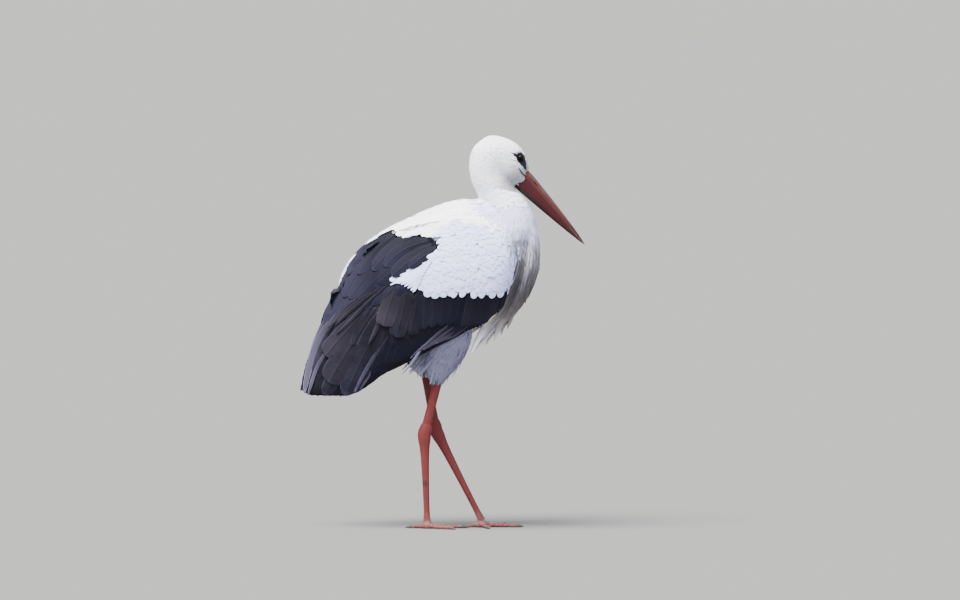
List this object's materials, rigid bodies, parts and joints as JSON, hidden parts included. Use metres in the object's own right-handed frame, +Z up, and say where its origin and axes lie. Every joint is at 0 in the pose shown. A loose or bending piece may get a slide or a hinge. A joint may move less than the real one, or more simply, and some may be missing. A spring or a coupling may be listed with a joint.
{
  "type": "white stork, life-size still model",
  "caption": "Life-size still model of a white stork in mid-stride, neck drawn in, bill pointing down, standing on both feet.",
  "frame": {"origin": "on the floor, under the middle of the whole bird's bounding box", "axes": "+X forward, towards the bill; +Y the bird's left; +Z up"},
  "size_m": [0.5994, 0.2178, 0.8264],
  "materials": {
    "white_plumage": "soft overlapping white feathers",
    "cream_plumes": "long loose cream-white breast plumes",
    "thigh_plumage": "short grey-white feathers",
    "black_plumage": "satin black flight feathers",
    "brown_black_plumage": "worn brown-black flight feathers with paler edges",
    "bill_horn": "satin deep red horn, dusty in patches",
    "leg_skin": "scaled red-orange skin, soiled in patches",
    "claw_horn": "dull dark horn",
    "eye": "clear wet gloss over a dark brown iris"
  },
  "bodies": {
    "root": {"ankle_left": "leg_skin", "ankle_right": "leg_skin", "bill_lower": "bill_horn", "bill_upper": "bill_horn", "breast_plumes": "cream_plumes", "claw_hind_left": "claw_horn", "claw_hind_right": "claw_horn", "claw_inner_left": "claw_horn", "claw_inner_right": "claw_horn", "claw_middle_left": "claw_horn", "claw_middle_right": "claw_horn", "claw_outer_left": "claw_horn", "claw_outer_right": "claw_horn", "coverts_left": "white_plumage", "coverts_right": "white_plumage", "eye_left": "eye", "eye_right": "eye", "foot_left": "leg_skin", "foot_right": "leg_skin", "head": "white_plumage", "neck_lower": "white_plumage", "neck_upper": "white_plumage", "primaries_left": "brown_black_plumage", "primaries_right": "brown_black_plumage", "scapulars_left": "black_plumage", "scapulars_right": "black_plumage", "secondaries_left": "black_plumage", "secondaries_right": "black_plumage", "tail": "white_plumage", "tarsus_left": "leg_skin", "tarsus_right": "leg_skin", "tertials_left": "brown_black_plumage", "tertials_right": "brown_black_plumage", "thigh_left": "thigh_plumage", "thigh_right": "thigh_plumage", "tibia_left": "leg_skin", "tibia_right": "leg_skin", "toe_hind_left": "leg_skin", "toe_hind_right": "leg_skin", "toe_inner_left": "leg_skin", "toe_inner_right": "leg_skin", "toe_middle_left": "leg_skin", "toe_middle_right": "leg_skin", "toe_outer_left": "leg_skin", "toe_outer_right": "leg_skin", "trunk": "white_plumage"}
  },
  "joints": []
}
